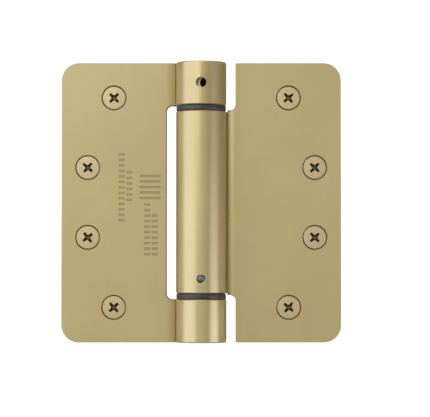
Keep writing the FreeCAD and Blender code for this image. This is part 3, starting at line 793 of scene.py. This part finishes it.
# %% Domed cross pin
DOME = 0.35
DIMPLE = 0.3
PIN_INSET = 0.1
low, high = box_mm("anchor_pin")
pin_radius, pin_height = (high[0] - low[0]) / 2, (high[2] + low[2]) / 2
half_length = high[1] - PIN_INSET


def pin_grid(segments=72):
    """Half the profile, mirrored, turned about Y: x = r cos a, y = depth, z = height + r sin a."""
    half = [
        (0, DIMPLE - half_length, 0), (pin_radius * 0.3, -half_length, 0.1),
        (pin_radius * 0.7, 0.08 - half_length, 0.8), (pin_radius, DOME - half_length, 0.3),
    ]
    mirrored = [(radius, -depth, arc) for radius, depth, arc in reversed(half)]
    profile = rounded_profile(half + mirrored, closed=False)
    angle = np.arange(segments) / segments * TAU
    radius, depth = profile[:, :1], profile[:, 1:]
    rows = [radius * np.cos(angle), depth + 0 * angle, pin_height + radius * np.sin(angle)]
    return np.stack(rows, axis=-1)


stand_for(grid_mesh("domed_anchor_pin", pin_grid()), "anchor_pin", pin_steel)

# %% [markdown]
# ## The spring's path
# The spring is one wire. It lies across the plug's slot, bends into the coil, winds left-handed
# up the barrel, and bends back across the hub's slot. A curve object with a bevel could carry
# the wire, but its bends would have to be drawn by hand. Here the path is a formula: a helix
# with a straight tang and a curved bend at each end.

# %% Tang at each end
CAD_WIRE = 1.1
coil_low, coil_high = box_mm("torsion_spring")
COIL_RADIUS = coil_high[0] - CAD_WIRE
FOOT, HEAD = coil_low[2] + CAD_WIRE, coil_high[2] - CAD_WIRE
COIL_PITCH = 2.35
HUB_REST_TURN = np.radians(12)
TANG_REACH = 3.4
TANG_BEND = 1.9
COIL_MEETS_OUT, COIL_MEETS_AROUND = 0.955, 0.30


def tang(end_turn, height, points=16):
    """The straight tang and its bend: from across the axis out to where the coil starts.

    The bend is a quadratic curve from the tang's line to the coil's tangent.
    """
    out = np.array([np.cos(end_turn), np.sin(end_turn)])
    around = np.array([np.sin(end_turn), -np.cos(end_turn)])
    t = np.linspace(0, 1, points)[:, None]
    straight = out * (-TANG_REACH + t[:-1] * (COIL_RADIUS - TANG_BEND + TANG_REACH))
    bend = (1 - t) ** 2 * out * (COIL_RADIUS - TANG_BEND) + 2 * t * (1 - t) * out * COIL_RADIUS
    meets = out * COIL_RADIUS * COIL_MEETS_OUT + around * COIL_RADIUS * COIL_MEETS_AROUND
    path = np.vstack([straight, bend + t**2 * meets])
    return np.column_stack([path, np.full(len(path), height)])


print("coil radius", round(COIL_RADIUS, 2), "mm, from", round(FOOT, 2), "to", round(HEAD, 2))

# %% [markdown]
# The number of turns is worked out from the height and the pitch, and then fitted so that the
# coil ends exactly at the hub's slot.


# %% Whole path of the wire
def spring_path():
    """Foot tang, left-hand helix, head tang, as one run of points.

    The helix is x = R cos a, y = -R sin a, and its height rises evenly with the angle. The head
    tang is the foot's own shape, mirrored across its line, so that the wire runs on into it.
    """
    hub_share = HUB_REST_TURN / TAU
    turns = round((HEAD - FOOT) / COIL_PITCH + hub_share) - hub_share
    lead = np.arctan2(COIL_MEETS_AROUND, COIL_MEETS_OUT) / TAU
    t = np.linspace(lead, turns - lead, 900)
    rise = FOOT + (HEAD - FOOT) * (t - lead) / (turns - 2 * lead)
    helix = np.column_stack([COIL_RADIUS * np.cos(TAU * t), -COIL_RADIUS * np.sin(TAU * t), rise])
    head = tang(HUB_REST_TURN, HEAD)
    across = np.array([-np.sin(HUB_REST_TURN), np.cos(HUB_REST_TURN)])
    offset = head[:, :2] @ across
    head[:, :2] -= 2 * offset[:, None] * across
    return np.vstack([tang(0, FOOT)[:-1], helix, head[::-1][1:]])


print("spring path of", len(spring_path()), "points")

# %% [markdown]
# ## The wire
# A round section is carried along the path. The usual frame for this can spin at a bend and
# pinch the tube. This path stays nearly level, so its side direction is kept level too, and the
# rings never twist.

# %% Round wire along the path
WIRE = 1.08


def carried_round(path, radius, segments=20):
    """A closed tube: each ring is path + radius * (cos a * side + sin a * up).

    Up is the Z axis made square to the path's direction, and side is square to both. Three
    smaller rings at each end close the cut wire with a flat face.
    """
    along = np.gradient(path, axis=0)
    along /= np.linalg.norm(along, axis=1, keepdims=True)
    up = np.array([0, 0, 1.0]) - along * along[:, 2:]
    up /= np.linalg.norm(up, axis=1, keepdims=True)
    side = np.cross(along, up)
    angle = (np.arange(segments) / segments * TAU)[:, None]
    ring = np.cos(angle) * side[:, None] + np.sin(angle) * up[:, None]
    body = path[:, None] + ring * radius
    blunt = [0.0, 0.6, 0.9]
    first = [path[0] + ring[0] * radius * share for share in blunt]
    last = [path[-1] + ring[-1] * radius * share for share in blunt[::-1]]
    return np.concatenate([np.array(first), body, np.array(last)])


spring = grid_mesh("wound_torsion_spring", carried_round(spring_path(), WIRE), sharp=60)
spring.data.materials.append(wire_steel)
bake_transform(spring)
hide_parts("torsion_spring")
print("spring", len(spring.data.polygons), "faces")

# %% [markdown]
# ## Paper under and behind
# A product is often stood on one sheet of paper that curves up into a wall, so that no horizon
# shows. A flat white background would do from one side only. The sheet also bounces soft light
# into the shadows. It glows a little by itself and is hidden from reflections, so that the brass
# mirrors the lights and not the floor.


# %% Paper sweep
def sweep_points():
    """A floor that curves up into a wall: a quarter circle between two straights."""
    half_width, floor_z, wall_y, wall_top, bend = 2.6, -0.34, 1.25, 2.2, 0.5
    arc = np.linspace(0, np.pi / 2, 24)
    profile = np.vstack([
        [(-half_width, floor_z)],
        np.column_stack([wall_y - bend + bend * np.sin(arc), floor_z + bend - bend * np.cos(arc)]),
        [(wall_y, wall_top)],
    ])
    width = np.linspace(-half_width, half_width, 9)
    x = np.broadcast_to(width[None], (len(profile), len(width)))
    y = np.broadcast_to(profile[:, :1], x.shape)
    z = np.broadcast_to(profile[:, 1:], x.shape)
    return np.stack([x, y, z], axis=-1) / MM


paper = Finish("pale_paper")
paper.set(Base_Color=(0.86, 0.86, 0.86, 1), Roughness=0.9, Emission_Color=(1, 1, 1, 1))
paper.set(Emission_Strength=0.42)
sweep = grid_mesh("paper_sweep", sweep_points(), round_wraps=False)
sweep.data.materials.append(paper.material)
sweep.visible_glossy = False
print("paper sweep", len(sweep.data.polygons), "faces")

# %% [markdown]
# ## Soft lights
# On satin metal the lights themselves are what one sees, smeared by the brushing. A tall one on
# the left draws the broad stripe down the barrel. A low one on the right draws the fainter
# stripe. Both are slightly cool, which keeps the stripes cream and not yellow. Two in front and
# one overhead even out the leaves. Small lamps would be simpler, but would draw hard, thin lines.


# %% Five lights and the air
def soft_light(name, place, width, height, radiance, colour=(1, 1, 1)):
    """A rectangular light that faces the hinge, its power set from how bright its face is.

    The power is pi * radiance * width * height, so a wider light of the same brightness draws
    a wider stripe and not a brighter one.
    """
    light = bpy.data.lights.new(name, "AREA")
    light.shape = "RECTANGLE"
    light.size, light.size_y = width, height
    light.energy = radiance * np.pi * width * height
    light.color = colour
    lamp = bpy.data.objects.new(name, light)
    bpy.context.scene.collection.objects.link(lamp)
    lamp.location = place
    lamp.rotation_euler = (-Vector(place)).to_track_quat("-Z", "Y").to_euler()


soft_light("left_tall", (-0.76, -0.48, 0.00), 1.14, 0.90, 1.60, (0.91, 0.95, 1.24))
soft_light("right_low", (0.80, -0.42, -0.28), 0.72, 0.48, 3.0, (0.94, 0.95, 1.27))
soft_light("front_high_left", (-0.30, -1.10, 0.36), 0.36, 0.26, 6.6)
soft_light("front_wide", (0.15, -1.35, 0.10), 1.0, 0.8, 0.48)
soft_light("overhead", (-0.10, 0.05, 0.95), 0.9, 0.7, 1.2)

world = bpy.data.worlds.new("studio_air")
bpy.context.scene.world = world
world.use_nodes = True
world.node_tree.nodes["Background"].inputs["Color"].default_value = (0.84, 0.84, 0.84, 1)
world.node_tree.nodes["Background"].inputs["Strength"].default_value = 0.46
bpy.context.scene.view_settings.view_transform = "Standard"
